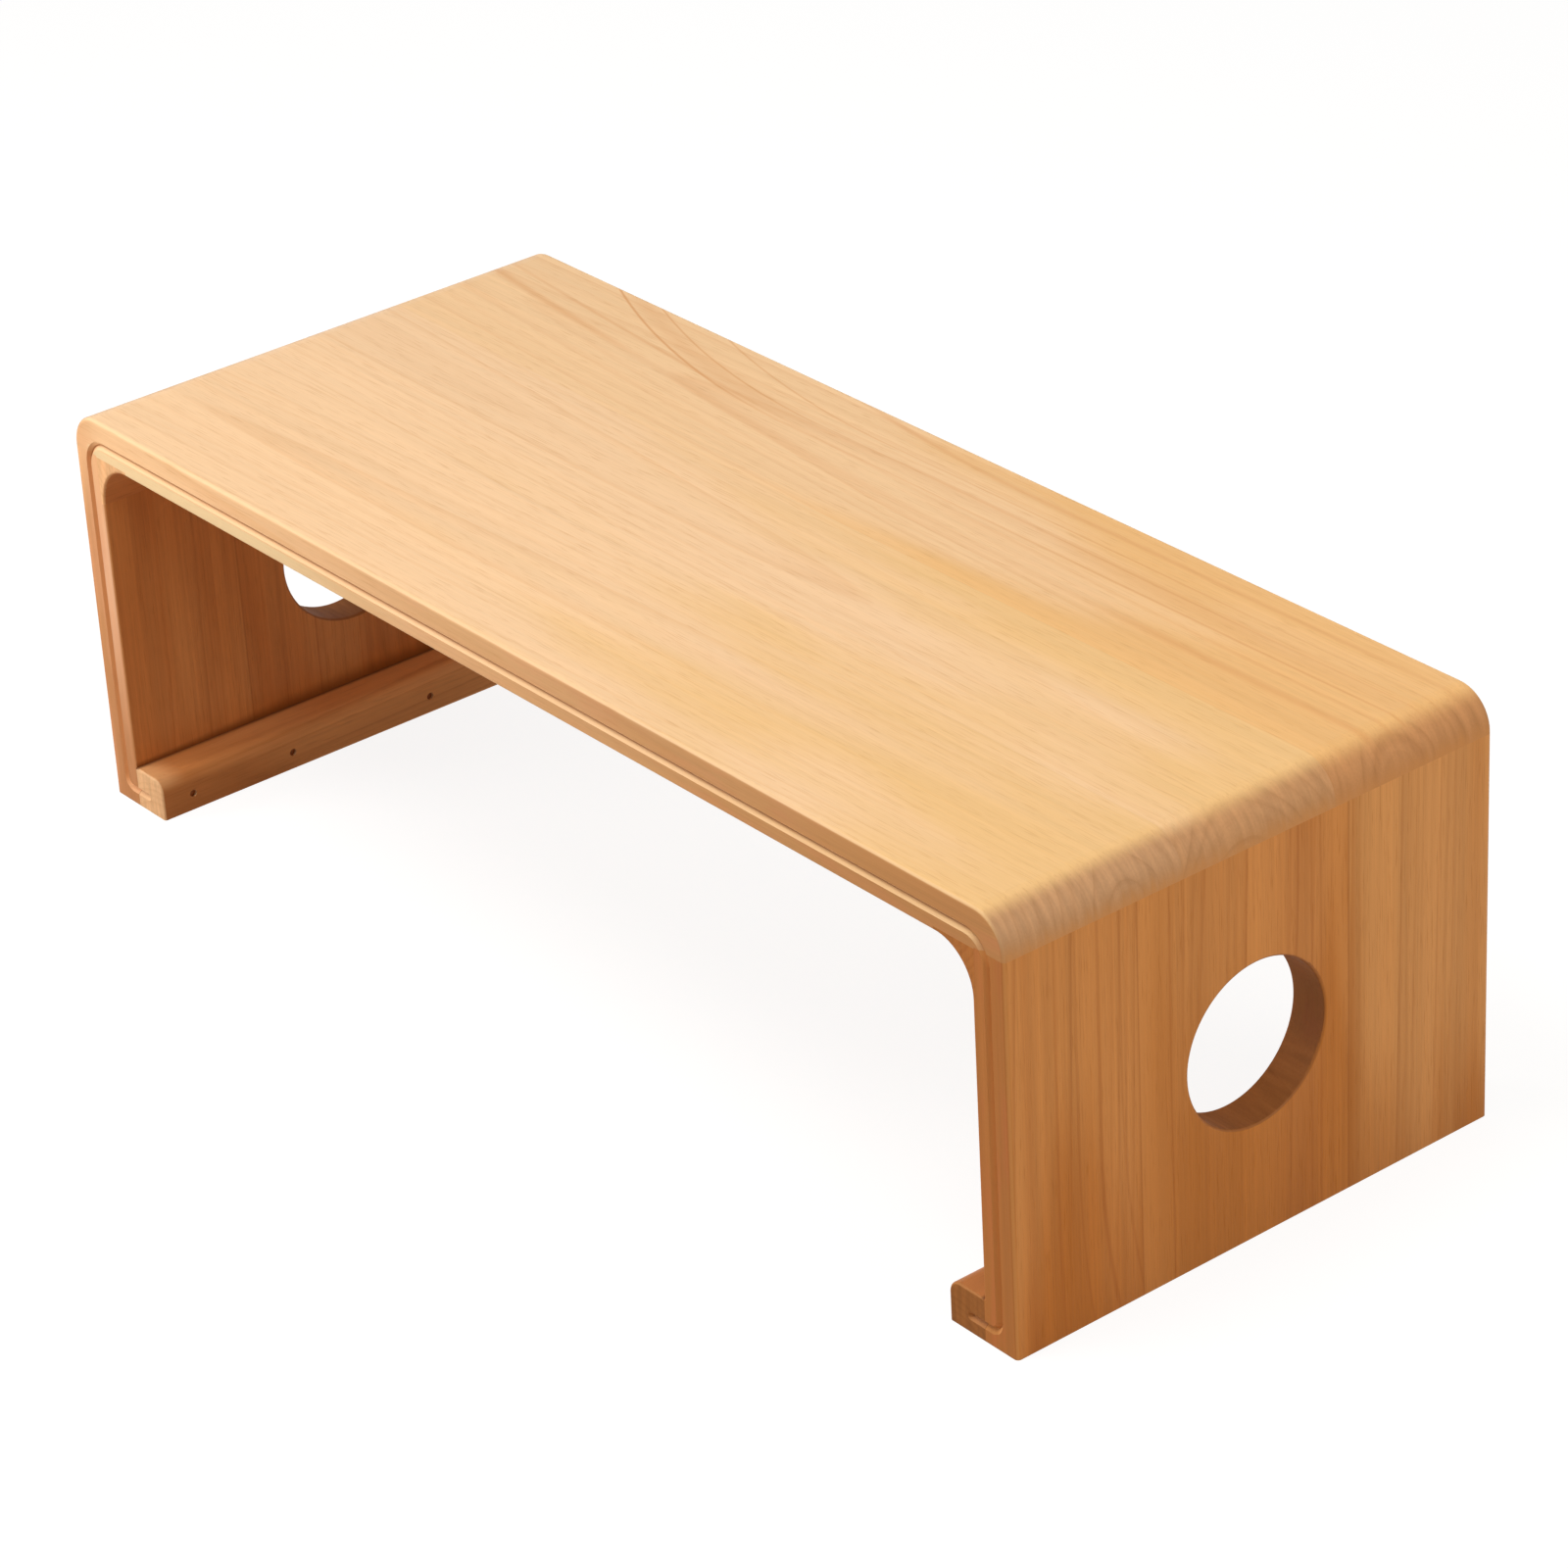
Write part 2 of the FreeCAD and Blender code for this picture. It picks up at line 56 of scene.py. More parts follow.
class Nodes:
    """The node tree of one material. Most calls add a node and return its output socket."""

    def __init__(self, name):
        self.material = bpy.data.materials.new(name)
        self.material.use_nodes = True
        self.tree = self.material.node_tree
        self.tree.nodes.clear()
        self.output = self.tree.nodes.new("ShaderNodeOutputMaterial")

    def add(self, kind, **settings):
        """A new node itself, for those that the other calls don't make."""
        node = self.tree.nodes.new("ShaderNode" + kind)
        for key, value in settings.items():
            setattr(node, key, value)
        return node

    def feed(self, socket, value):
        """Links a socket to an input, or sets the input to a plain value."""
        if isinstance(value, bpy.types.NodeSocket):
            self.tree.links.new(value, socket)
        else:
            socket.default_value = value

    def math(self, operation, *values, clamp=False):
        node = self.add("Math", operation=operation, use_clamp=clamp)
        for socket, value in zip(node.inputs, values):
            self.feed(socket, value)
        return node.outputs[0]

    def plus(self, first, second):
        return self.math("ADD", first, second)

    def times(self, first, second):
        return self.math("MULTIPLY", first, second)

    def scaled(self, value, factor, shift=0.0):
        return self.math("MULTIPLY_ADD", value, factor, shift)

    def size(self, value):
        return self.math("ABSOLUTE", value)

    def vector(self, x, y, z):
        node = self.add("CombineXYZ")
        for socket, value in zip(node.inputs, (x, y, z)):
            self.feed(socket, value)
        return node.outputs[0]

    def split(self, vector):
        node = self.add("SeparateXYZ")
        self.feed(node.inputs[0], vector)
        return node.outputs[0], node.outputs[1], node.outputs[2]

    def noise(self, vector, detail, roughness=0.5):
        node = self.add("TexNoise")
        self.feed(node.inputs["Vector"], vector)
        node.inputs["Scale"].default_value = 1.0
        node.inputs["Detail"].default_value = detail
        node.inputs["Roughness"].default_value = roughness
        return node.outputs["Fac"]

    def chance(self, value):
        """A number from 0 to 1 that differs from one whole value to the next."""
        node = self.add("TexWhiteNoise", noise_dimensions="1D")
        self.feed(node.inputs["W"], value)
        return node.outputs["Value"]

    def span(self, value, low, high, start=0.0, end=1.0, kind="SMOOTHSTEP"):
        """Goes from start to end as the value goes from low to high."""
        node = self.add("MapRange", interpolation_type=kind)
        for socket, item in zip(node.inputs, (value, low, high, start, end)):
            self.feed(socket, item)
        return node.outputs[0]

    def curve(self, value, stops):
        node = self.add("ValToRGB")
        elements = node.color_ramp.elements
        while len(elements) < len(stops):
            elements.new(0.5)
        for element, (position, level) in zip(elements, stops):
            element.position = position
            element.color = (level, level, level, 1.0)
        self.feed(node.inputs[0], value)
        return node.outputs["Color"]

    def blend(self, factor, first, second, kind="MIX"):
        node = self.add("Mix", data_type="RGBA", blend_type=kind)
        self.feed(node.inputs["Factor"], factor)
        colours = [socket for socket in node.inputs if socket.type == "RGBA"]
        self.feed(colours[0], first)
        self.feed(colours[1], second)
        return [socket for socket in node.outputs if socket.type == "RGBA"][0]

    def mixed_shader(self, factor, first, second):
        node = self.add("MixShader")
        for socket, value in zip(node.inputs, (factor, first, second)):
            self.feed(socket, value)
        return node.outputs[0]

    def finish(self, shader):
        self.feed(self.output.inputs["Surface"], shader)
        return self.material


# The order of a place's axes as along the grain, across the board and through it
GRAIN_ORDER = {"x": (0, 1, 2), "y": (1, 0, 2), "z": (2, 1, 0)}

# Growth rings, as they cross the year: pale early wood, then a dark late line
RING_PROFILE = ((0.0, 0.35), (0.13, 0.0), (0.50, 0.15), (0.82, 0.80), (0.92, 1.0), (1.0, 0.35))
# On end grain the years look broader and softer
END_RING_PROFILE = ((0.0, 0.45), (0.18, 0.05), (0.45, 0.10), (0.75, 0.65), (0.88, 1.0), (1.0, 0.45))
END_YEARS = 0.75
PITH_WANDER = 0.010
# How unevenly wide the years are: the pattern's scales by radius and by the slow noise, its detail, and
# how many years it shifts
UNEVEN_BY_RADIUS = 60.0
UNEVEN_BY_NOISE = 1.5
UNEVEN_DETAIL = 2.0
UNEVEN_YEARS = 2.2
# The weakest year on faces and on ends, and the range of chance over which years gain strength
FAINT_YEAR = 0.12
FAINT_END_YEAR = 0.30
YEAR_CHANCE = (0.2, 1.0)
END_YEAR_CHANCE = (0.0, 1.0)

# Noise patterns: scale along the grain, scale across it, detail and roughness
NOISES = {
    "slow": (2.2, 9.0, 2.0, 0.5),
    "mottle": (13.0, 70.0, 2.0, 0.5),
    "bands": (0.9, 70.0, 3.0, 0.6),
    "fibres": (6.0, 620.0, 2.0, 0.6),
    "patches": (2.6, 16.0, 2.0, 0.5),
    "pores": (42.0, 1150.0, 1.0, 0.5),
}
# The tone drifts in one pattern over all the boards of a face
PATCH_SEED = 4.6
# Rays on end grain run through the board: scale through and along it, and across it
RAY_SCALES = (16.0, 190.0)
RAY_DETAIL = (3.0, 0.6)

# The range of each noise over which it takes effect
PORE_RANGE = (0.57, 0.72)
BAND_RANGE = (0.28, 0.72)
FIBRE_RANGE = (0.25, 0.75)
RAY_RANGE = (0.28, 0.72)
DRIFT_RANGE = (0.38, 0.74)
ROSY_RANGE = (0.45, 0.66)
ROSY_SHARE = 0.40
# How much paler the pale side of a band, fibre or ray is, as a share of how much darker the dark side is
BAND_LIFT = 0.4
FIBRE_LIFT = 0.5
RAY_LIFT = 0.7
# Darkest and palest shade of fibres on end grain, and of bands and fibres on narrow faces
END_FIBRES = (0.96, 1.03)
NARROW_BANDS = (0.93, 1.04)
NARROW_FIBRES = (0.95, 1.03)

# Veins: how far they wander, where a face is broad enough to show them, and how they come and go
VEIN_WANDER = 0.006
VEIN_FACING = (0.7, 0.95)
VEIN_PATCHES = (0.32, 0.58)
FAINT_VEIN = 0.35

# Narrow faces: how squarely they look to the front or rear, and the places along and up the table
# between which their tones change
NARROW_FACING = (0.76, 0.97)
NARROW_LENGTH = (-0.35, 0.45)
CORNER = (0.455, 0.495)
CORNER_SHARE = 0.35
OUTSIDE_LINE = (0.479, 0.490)
# Deeper at the foot and paler at the head: painted light falling off towards the floor
FOOT = (0.02, 0.18)
HEAD = (0.20, 0.29)
# The pale strip low on the top's front, from the routed line at the left corner towards the middle
LOW_STRIP_SHARE = 0.55
LOW_STRIP_HEIGHT = (0.2860, 0.2895)
LOW_STRIP_START = (-0.485, -0.480)
LOW_STRIP_END = (-0.28, -0.06)
# Painted light on the upward-facing fronts of the rails, as distances from the front
PAINTED_FRONT_LIGHT_SHARE = 0.55
PAINTED_FRONT_LIGHT_DEPTH = (0.004, 0.026)
PAINTED_FRONT_LIGHT_FACING = (0.1, 0.8)

# End grain: its share of the colour, the height of the seam below the rounded ends, and the soles
END_SHARE = 0.90
SEAM_SHARE = 0.90
SEAM_HEIGHT = (0.279, 0.295)
SEAM_WANDER = 0.016
SOLE_HEIGHT = (0.002, 0.006)

# Paler tone on arrises and on the flanks of the routed line, partly from use and partly painted highlight,
# and painted shade in the line's bottom
WEAR_AND_HIGHLIGHT = 0.55
WEAR_AND_HIGHLIGHT_TURN = (0.30, 0.48)
GROOVE_SHADE_DEPTH = (0.62 * GROOVE_DEPTH, GROOVE_DEPTH)
# Near the foot the painted shade in the line's bottom nearly fades, so the flank there shows pale
FOOT_GROOVE_SHADE_SHARE = 0.1
FOOT_GROOVE_SHADE_HEIGHT = (0.016, 0.040)

# Glue lines: half their width, and how far from the front and rear a board's side counts as glued
JOINT_HALF = 0.0012
JOINT_INSET = 0.01
# The rail's dark joint along its panel is widened by painted shade in the corner: its half width, the faces
# and the heights where it shows
RAIL_JOINT_AND_SHADE_HALF = 0.0045
RAIL_JOINT_AND_SHADE_FACING = (0.3, 0.8)
RAIL_JOINT_AND_SHADE_HEIGHT = (0.020, 0.028)
# The shadow on a panel above its rail, which reaches higher towards the middle of the table's depth
SHADOW_SHARE = 0.80
SHADOW_PLACE = (-0.20, 0.0)
SHADOW_REACH = (0.005, 0.014)

# The satin finish: gloss, and roughness with what pores, patches, narrow faces and end grain add to it
SATIN_GLOSS = 0.14
ROUGHNESS = 0.36
PORE_ROUGHNESS = 0.14
PATCH_RANGE = (0.3, 0.7)
PATCH_ROUGHNESS = (-0.03, 0.06)
BROAD_FACING = (0.3, 0.8)
NARROW_ROUGHNESS = 0.25
END_ROUGHNESS = 0.08
# Relief of the grain: the height of pores, fibres and late wood, the bump's strength and its depth
PORE_RELIEF = -0.7
FIBRE_RELIEF = 0.5
LATE_RELIEF = 0.25
RELIEF_STRENGTH = 0.25
RELIEF_DEPTH = 0.0003


def stretched(nodes, place, grain_scale, cross_scale, seed):
    """The place in a board, scaled for a pattern that is long with the grain and narrow across it."""
    along, across, through = place
    return nodes.vector(
        nodes.scaled(along, grain_scale, seed),
        nodes.scaled(across, cross_scale, -seed),
        nodes.scaled(through, cross_scale, 0.5 * seed),
    )


def growth_rings(nodes, place, slow, pith, lean, ring, seed):
    """How dark the late wood is on faces and on ends: years round a pith line that leans and wanders."""
    along, across, through = place
    wide = nodes.plus(across, nodes.scaled(along, -lean[0], -pith[0]))
    deep = nodes.plus(through, nodes.scaled(along, -lean[1], -pith[1]))
    deep = nodes.plus(deep, nodes.scaled(slow, PITH_WANDER, -0.5 * PITH_WANDER))
    radius = nodes.math("SQRT", nodes.plus(nodes.times(wide, wide), nodes.times(deep, deep)))
    uneven_place = nodes.vector(
        nodes.scaled(radius, UNEVEN_BY_RADIUS), seed, nodes.scaled(slow, UNEVEN_BY_NOISE)
    )
    uneven = nodes.noise(uneven_place, UNEVEN_DETAIL)
    years = nodes.plus(nodes.scaled(radius, 1.0 / ring), nodes.scaled(uneven, UNEVEN_YEARS))
    late = nodes.curve(nodes.math("FRACT", years), RING_PROFILE)
    strength = nodes.span(nodes.chance(nodes.math("FLOOR", years)), *YEAR_CHANCE, FAINT_YEAR, 1.0)
    end_years = nodes.scaled(years, END_YEARS)
    end_late = nodes.curve(nodes.math("FRACT", end_years), END_RING_PROFILE)
    end_chance = nodes.chance(nodes.math("FLOOR", end_years))
    end_strength = nodes.span(end_chance, *END_YEAR_CHANCE, FAINT_END_YEAR, 1.0)
    return nodes.times(late, strength), nodes.times(end_late, end_strength)


def patterns(nodes, place, pith, lean, ring, seed):
    """The patterns that a board's colour, gloss and relief are mixed from."""
    along, across, through = place
    found = {}
    for name, (grain_scale, cross_scale, detail, roughness) in NOISES.items():
        start = PATCH_SEED if name == "patches" else seed
        found[name] = nodes.noise(stretched(nodes, place, grain_scale, cross_scale, start), detail, roughness)
    found["pores"] = nodes.span(found["pores"], *PORE_RANGE)
    found["late"], found["end_late"] = growth_rings(nodes, place, found["slow"], pith, lean, ring, seed)
    long_scale, short_scale = RAY_SCALES
    ray_place = nodes.vector(
        nodes.scaled(along, long_scale, seed),
        nodes.scaled(across, short_scale, -seed),
        nodes.scaled(through, long_scale),
    )
    found["rays"] = nodes.noise(ray_place, *RAY_DETAIL)
    return found


def shaded(nodes, colour, first, second):
    """The colour times two grey shades."""
    shade = nodes.times(first, second)
    return nodes.blend(1.0, colour, nodes.vector(shade, shade, shade), "MULTIPLY")


def vein(nodes, place, pattern, line, turn, swing, half_width, strength):
    """One growth line with the grain, here stronger and there weaker.

    Before its turn, a place along the board, it swings aside.
    """
    along, across, _ = place
    beyond = nodes.math("MAXIMUM", nodes.math("SUBTRACT", turn, along), 0.0)
    shift = nodes.times(nodes.times(beyond, beyond), swing)
    away = nodes.math("SUBTRACT", nodes.math("SUBTRACT", across, line), shift)
    away = nodes.plus(away, nodes.scaled(pattern["slow"], VEIN_WANDER, -0.5 * VEIN_WANDER))
    mask = nodes.span(nodes.size(away), 0.0, half_width, strength, 0.0)
    return nodes.times(mask, nodes.span(pattern["patches"], *VEIN_PATCHES, FAINT_VEIN, 1.0))


def face_colour(nodes, place, broad, pattern, tones, figure, drift, veins):
    """The long grain: rings, patches of the warm tone, bands, fibres and pores, and veins on broad faces."""
    along, across, _ = place
    grain_drift, cross_drift, drift_start = drift
    bands, fibres = figure["bands"], figure["fibres"]
    colour = nodes.blend(nodes.times(pattern["late"], figure["rings"]), tones["early"], tones["late"])
    drifted = nodes.plus(pattern["patches"], nodes.scaled(along, grain_drift, drift_start))
    drifted = nodes.plus(drifted, nodes.scaled(across, cross_drift))
    colour = nodes.blend(nodes.span(drifted, *DRIFT_RANGE, 0.0, figure["warm"]), colour, tones["warm"])
    band_shade = nodes.span(pattern["bands"], *BAND_RANGE, 1.0 - bands, 1.0 + BAND_LIFT * bands)
    fibre_shade = nodes.span(pattern["fibres"], *FIBRE_RANGE, 1.0 - fibres, 1.0 + FIBRE_LIFT * fibres)
    colour = shaded(nodes, colour, band_shade, fibre_shade)
    for tone, *values in veins:
        mask = nodes.times(vein(nodes, place, pattern, *values), nodes.span(broad, *VEIN_FACING))
        colour = nodes.blend(mask, colour, tones[tone])
    return nodes.blend(nodes.times(pattern["pores"], figure["pores"]), colour, tones["pore_and_shade"])


def end_colour(nodes, pattern, tones, figure):
    """The end grain: greyer, with rings and with rays that run over the rounded end."""
    rings = nodes.times(pattern["end_late"], figure["end_rings"])
    colour = nodes.blend(rings, tones["end"], tones["end_late"])
    rays = figure["rays"]
    ray_shade = nodes.span(pattern["rays"], *RAY_RANGE, 1.0 - rays, 1.0 + RAY_LIFT * rays)
    return shaded(nodes, colour, ray_shade, nodes.span(pattern["fibres"], *FIBRE_RANGE, *END_FIBRES))


def narrow_colour(nodes, row_place, pattern, tones):
    """The narrow front and rear faces, with fine grain and rosy patches.

    They have a tone outside and one inside the routed line, and one at foot and head.
    """
    outward = nodes.span(nodes.size(row_place[0]), *OUTSIDE_LINE)
    colour = nodes.blend(outward, tones["edge_inner"], tones["edge"])
    colour = nodes.blend(nodes.span(row_place[2], *FOOT), tones["edge_foot"], colour)
    colour = nodes.blend(nodes.span(row_place[2], *HEAD), colour, tones["edge_head"])
    rosy = nodes.span(pattern["mottle"], *ROSY_RANGE, 0.0, ROSY_SHARE)
    colour = nodes.blend(rosy, colour, tones["edge_rosy"])
    band_shade = nodes.span(pattern["bands"], *BAND_RANGE, *NARROW_BANDS)
    return shaded(nodes, colour, band_shade, nodes.span(pattern["fibres"], *FIBRE_RANGE, *NARROW_FIBRES))


def narrow_faces(nodes, row_place, facing, corner, grain, pattern, tones, edges, colour):
    """Lays the narrow faces' colour on, deeper at the table's corners and, as painted shade, towards the
    right.

    The top also gets its pale low strip, and the rails painted light on their fronts.
    """
    share = nodes.span(row_place[0], *NARROW_LENGTH, *edges, "LINEAR")
    share = nodes.math("ADD", share, nodes.scaled(corner, CORNER_SHARE), clamp=True)
    squarely = nodes.span(facing[1], *NARROW_FACING)
    narrow = narrow_colour(nodes, row_place, pattern, tones)
    colour = nodes.blend(nodes.times(squarely, share), colour, narrow)
    if grain == "x":
        strip = nodes.span(row_place[2], *LOW_STRIP_HEIGHT, LOW_STRIP_SHARE, 0.0)
        strip = nodes.times(strip, nodes.span(row_place[0], *LOW_STRIP_END, 1.0, 0.0))
        strip = nodes.times(strip, nodes.span(row_place[0], *LOW_STRIP_START))
        colour = nodes.blend(nodes.times(strip, squarely), colour, tones["edge_low"])
    if grain == "y":
        near, far = (depth - HALF_DEPTH for depth in PAINTED_FRONT_LIGHT_DEPTH)
        painted_front_light = nodes.span(row_place[1], near, far, PAINTED_FRONT_LIGHT_SHARE, 0.0)
        painted_front_light = nodes.times(painted_front_light, nodes.span(facing[2], *PAINTED_FRONT_LIGHT_FACING))
        colour = nodes.blend(painted_front_light, colour, tones["painted_front_light"])
    return colour


def end_faces(nodes, height, end_face, grain, pattern, tones, figure, colour):
    """Lays the end grain on. It is sanded into the side's tone at the seam, and all soles have one tone."""
    grain_end = end_colour(nodes, pattern, tones, figure)
    if grain == "x":
        above = nodes.plus(height, nodes.scaled(pattern["rays"], SEAM_WANDER, -0.5 * SEAM_WANDER))
        seam = nodes.span(above, *SEAM_HEIGHT, SEAM_SHARE, 0.0)
        grain_end = nodes.blend(seam, grain_end, tones["seam"])
    if grain == "z":
        sole = end_colour(nodes, pattern, SOLE_TONES, figure)
        grain_end = nodes.blend(nodes.span(height, *SOLE_HEIGHT, 1.0, 0.0), grain_end, sole)
    return nodes.blend(nodes.times(end_face, END_SHARE), colour, grain_end)


def wear_highlight_and_groove_shade(nodes, row_place, wear_and_highlight_facing, corner, grain, tones, figure, colour):
    """Paints arrises and the routed line's flanks paler, partly from use and partly as painted highlight, and
    paints shade into the line's bottom.
    """
    side_on = nodes.math("SQRT", nodes.math("SUBTRACT", 1.0, nodes.times(wear_and_highlight_facing, wear_and_highlight_facing), clamp=True))
    wear_and_highlight = nodes.span(nodes.times(wear_and_highlight_facing, side_on), *WEAR_AND_HIGHLIGHT_TURN)
    wear_and_highlight_share = nodes.times(wear_and_highlight, nodes.scaled(corner, figure["corner_wear_and_highlight"] - WEAR_AND_HIGHLIGHT, WEAR_AND_HIGHLIGHT))
    colour = nodes.blend(wear_and_highlight_share, colour, tones["wear_and_highlight"])
    depth = nodes.math("SUBTRACT", HALF_DEPTH, nodes.size(row_place[1]))
    bottom = nodes.times(nodes.span(depth, *GROOVE_SHADE_DEPTH), wear_and_highlight)
    bottom = nodes.times(bottom, nodes.math("LESS_THAN", depth, GROOVE_DEPTH + LINE_SLACK))
    if grain == "z":
        foot_groove_shade_fade = nodes.span(row_place[2], *FOOT_GROOVE_SHADE_HEIGHT, FOOT_GROOVE_SHADE_SHARE, 1.0)
        bottom = nodes.times(bottom, foot_groove_shade_fade)
    return nodes.blend(nodes.times(bottom, figure["line"]), colour, tones["groove_shade"])


def glue_lines_and_painted_shade(nodes, row_place, facing, box, grain, tones, figure, colour):
    """Draws the lines between glued boards, the rail's dark joint along its panel widened by painted shade in
    the corner, and the painted shadow above a rail.
    """
    low, high = box
    if grain == "y":
        seams = [(row_place[0], edge) for edge in (low.x, high.x) if abs(edge) > PANEL_FACE - JOINT_HALF]
    else:
        seams = [(row_place[1], edge) for edge in (low.y, high.y) if abs(edge) < HALF_DEPTH - JOINT_INSET]
    for side, edge in seams:
        away = nodes.size(nodes.math("SUBTRACT", side, edge))
        line = nodes.span(away, 0.0, figure["joint_half"], figure["joint"], 0.0)
        if grain == "y":
            line = nodes.times(line, nodes.span(facing[2], *RAIL_JOINT_AND_SHADE_FACING))
            line = nodes.times(line, nodes.span(row_place[2], *RAIL_JOINT_AND_SHADE_HEIGHT))
        colour = nodes.blend(line, colour, tones["pore_and_shade"])
    if grain == "z":
        reach = nodes.span(row_place[1], *SHADOW_PLACE, *SHADOW_REACH)
        above = nodes.math("SUBTRACT", row_place[2], RAIL_TOP)
        shadow = nodes.span(above, 0.0, reach, SHADOW_SHARE, 0.0)
        inside = nodes.math("LESS_THAN", nodes.size(row_place[0]), PANEL_FACE + FACE_SLACK)
        colour = nodes.blend(nodes.times(shadow, inside), colour, tones["pore_and_shade"])
    return colour


def satin(nodes, colour, broad, end_face, pattern):
    """The shader of the clear finish, smoother on broad faces than on narrow ones, with relief."""
    shader = nodes.add("BsdfPrincipled")
    nodes.feed(shader.inputs["Base Color"], colour)
    shader.inputs["Specular IOR Level"].default_value = SATIN_GLOSS
    roughness = nodes.scaled(pattern["pores"], PORE_ROUGHNESS, ROUGHNESS)
    roughness = nodes.plus(roughness, nodes.span(pattern["patches"], *PATCH_RANGE, *PATCH_ROUGHNESS))
    roughness = nodes.plus(roughness, nodes.span(broad, *BROAD_FACING, NARROW_ROUGHNESS, 0.0))
    roughness = nodes.plus(roughness, nodes.scaled(end_face, END_ROUGHNESS))
    nodes.feed(shader.inputs["Roughness"], roughness)
    relief = nodes.plus(
        nodes.scaled(pattern["pores"], PORE_RELIEF), nodes.scaled(pattern["fibres"], FIBRE_RELIEF)
    )
    relief = nodes.plus(relief, nodes.scaled(pattern["late"], LATE_RELIEF))
    bump = nodes.add("Bump")
    bump.inputs["Strength"].default_value = RELIEF_STRENGTH
    bump.inputs["Distance"].default_value = RELIEF_DEPTH
    nodes.feed(bump.inputs["Height"], relief)
    nodes.feed(shader.inputs["Normal"], bump.outputs["Normal"])
    return shader.outputs["BSDF"]


def wood(name, box, grain, wear_and_highlight_axis, pith, lean, ring, tones, figure, edges, seed, drift, veins=()):
    """A board's solid wood, with edges painted paler partly from use and partly as highlight, painted shade,
    and a satin clear finish.
    """
    nodes = Nodes(name)
    coordinates = nodes.add("TexCoord")
    row_place = nodes.split(coordinates.outputs["Object"])
    facing = [nodes.size(part) for part in nodes.split(coordinates.outputs["Normal"])]
    along_axis, _, through_axis = GRAIN_ORDER[grain]
    place = tuple(row_place[axis] for axis in GRAIN_ORDER[grain])
    broad = facing[through_axis]
    corner = nodes.span(nodes.size(row_place[0]), *CORNER)
    end_face = nodes.span(facing[along_axis], *figure["end_turn"])
    pattern = patterns(nodes, place, pith, lean, ring, seed)

    colour = face_colour(nodes, place, broad, pattern, tones, figure, drift, veins)
    colour = narrow_faces(nodes, row_place, facing, corner, grain, pattern, tones, edges, colour)
    colour = end_faces(nodes, row_place[2], end_face, grain, pattern, tones, figure, colour)
    colour = wear_highlight_and_groove_shade(nodes, row_place, facing[wear_and_highlight_axis], corner, grain, tones, figure, colour)
    colour = glue_lines_and_painted_shade(nodes, row_place, facing, box, grain, tones, figure, colour)

    # The rounded ends of the top are as smooth as its broad faces
    if grain == "x":
        broad = nodes.math("MAXIMUM", broad, facing[along_axis])
    return nodes.finish(satin(nodes, colour, broad, end_face, pattern))


SPECK_SCALE = 900.0
SPECK_DETAIL = 3.0
STEEL_TONES = (tint(118, 62, 20), tint(150, 86, 36))
STEEL_METAL = 0.20
STEEL_GLOSS = 0.2
STEEL_ROUGHNESS = 0.35
SPECK_ROUGHNESS = 0.3


def steel(name):
    """Dull dark screw steel with fine specks."""
    nodes = Nodes(name)
    place = nodes.split(nodes.add("TexCoord").outputs["Object"])
    specks = nodes.noise(nodes.vector(*(nodes.scaled(part, SPECK_SCALE) for part in place)), SPECK_DETAIL)
    shader = nodes.add("BsdfPrincipled")
    shader.inputs["Metallic"].default_value = STEEL_METAL
    shader.inputs["Specular IOR Level"].default_value = STEEL_GLOSS
    nodes.feed(shader.inputs["Base Color"], nodes.blend(specks, *STEEL_TONES))
    nodes.feed(shader.inputs["Roughness"], nodes.scaled(specks, SPECK_ROUGHNESS, STEEL_ROUGHNESS))
    return nodes.finish(shader.outputs["BSDF"])


# How a narrow face's rosy patches differ from its tone, in screen values
ROSY_SHIFT = (8, -8, 4)


def narrow_tones(*values):
    """One tone on all parts of a board's narrow faces, with its rosy patches."""
    tone = tint(*values)
    rosy = tint(*(value + shift for value, shift in zip(values, ROSY_SHIFT)))
    return {"edge": tone, "edge_inner": tone, "edge_foot": tone, "edge_head": tone, "edge_rosy": rosy}


TOP_TONES = {
    "early": tint(244, 205, 161),
    "late": tint(220, 164, 106),
    "warm": tint(234, 190, 124),
    "pore_and_shade": tint(184, 126, 72),
    "groove_shade": tint(158, 90, 40),
    "end": tint(190, 145, 107),
    "end_late": tint(151, 105, 68),
    "seam": tint(201, 139, 82),
    "wear_and_highlight": tint(246, 208, 162),
    **narrow_tones(200, 144, 91),
    "edge_low": tint(225, 211, 168),
}
TOP_MIDDLE_TONES = dict(TOP_TONES, end=tint(190, 141, 99), end_late=tint(149, 102, 64))
TOP_REAR_TONES = dict(
    TOP_TONES,
    early=tint(242, 202, 154),
    late=tint(214, 150, 90),
    warm=tint(233, 181, 112),
    end=tint(191, 136, 90),
    end_late=tint(148, 97, 56),
)
SIDE_TONES = {
    "early": tint(213, 146, 81),
    "late": tint(166, 95, 34),
    "warm": tint(186, 111, 38),
    "pore_and_shade": tint(138, 76, 26),
    "groove_shade": tint(138, 76, 26),
    "end": tint(160, 104, 54),
    "end_late": tint(128, 78, 38),
    "wear_and_highlight": tint(190, 126, 66),
    **narrow_tones(190, 124, 66),
}
# The undersides of all the side panels' boards
SOLE_TONES = {"end": tint(186, 128, 76), "end_late": tint(150, 98, 54)}
RIGHT_LEG_TONES = dict(
    SIDE_TONES, end=tint(200, 138, 80), end_late=tint(184, 122, 64), wear_and_highlight=tint(214, 150, 88)
)
SIDE_REAR_TONES = dict(SIDE_TONES, early=tint(217, 156, 94), warm=tint(183, 112, 42))
